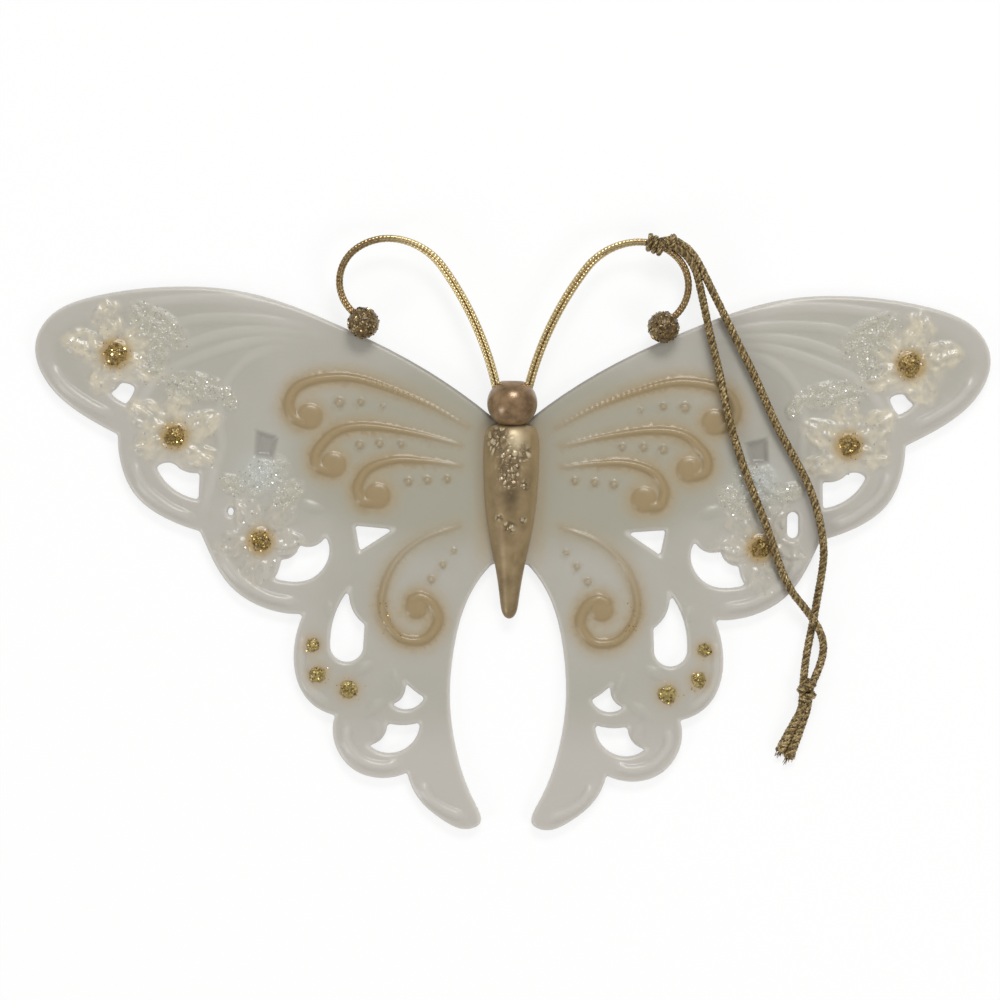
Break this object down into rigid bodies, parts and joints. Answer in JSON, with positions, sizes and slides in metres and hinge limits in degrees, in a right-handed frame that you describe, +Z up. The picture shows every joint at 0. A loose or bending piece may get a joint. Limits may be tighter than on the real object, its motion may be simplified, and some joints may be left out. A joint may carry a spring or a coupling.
{
  "type": "butterfly ornament",
  "caption": "Flat translucent butterfly ornament with lace wings, gold body, bead head, curled wire antennae and a cord loop for hanging.",
  "frame": {"origin": "on the back face, on the mirror line between the wings, under the middle of the body", "axes": "+X across the wings to the right, +Y towards the head and antennae, +Z up out of the front face"},
  "size_m": [0.1602, 0.1014, 0.0086],
  "materials": {
    "milky_plastic": "satin, translucent",
    "gold_paint": "satin gold with glitter",
    "bronze_bead": "satin bronze",
    "gold_wire": "bright twisted wire",
    "glitter_ball": "gold glitter",
    "gold_glitter": "gold glitter",
    "metallic_cord": "dark bronze lame"
  },
  "bodies": {
    "ornament": {"wing_plate": "milky_plastic", "body": "gold_paint", "head_bead": "bronze_bead", "antenna_wire_left": "gold_wire", "antenna_wire_right": "gold_wire", "antenna_ball_left": "glitter_ball", "antenna_ball_right": "glitter_ball", "flower_centre_left_1": "gold_glitter", "flower_centre_left_2": "gold_glitter", "flower_centre_left_3": "gold_glitter", "flower_centre_right_1": "gold_glitter", "flower_centre_right_2": "gold_glitter", "flower_centre_right_3": "gold_glitter", "hindwing_dot_left_1": "gold_glitter", "hindwing_dot_left_2": "gold_glitter", "hindwing_dot_left_3": "gold_glitter", "hindwing_dot_right_1": "gold_glitter", "hindwing_dot_right_2": "gold_glitter", "hindwing_dot_right_3": "gold_glitter"},
    "hanging_loop": {"cord_hitch": "metallic_cord", "cord_strand_inner": "metallic_cord", "cord_strand_outer": "metallic_cord", "cord_knot": "metallic_cord", "cord_tail_left": "metallic_cord", "cord_tail_right": "metallic_cord"}
  },
  "joints": [
    {"name": "loop_swing", "type": "hinge", "parent": "ornament", "child": "hanging_loop", "pos_m": [0.02432, 0.04259, 0.0044], "axis": [-0.9293, 0.3694, 0], "range_deg": [0, 100]}
  ]
}
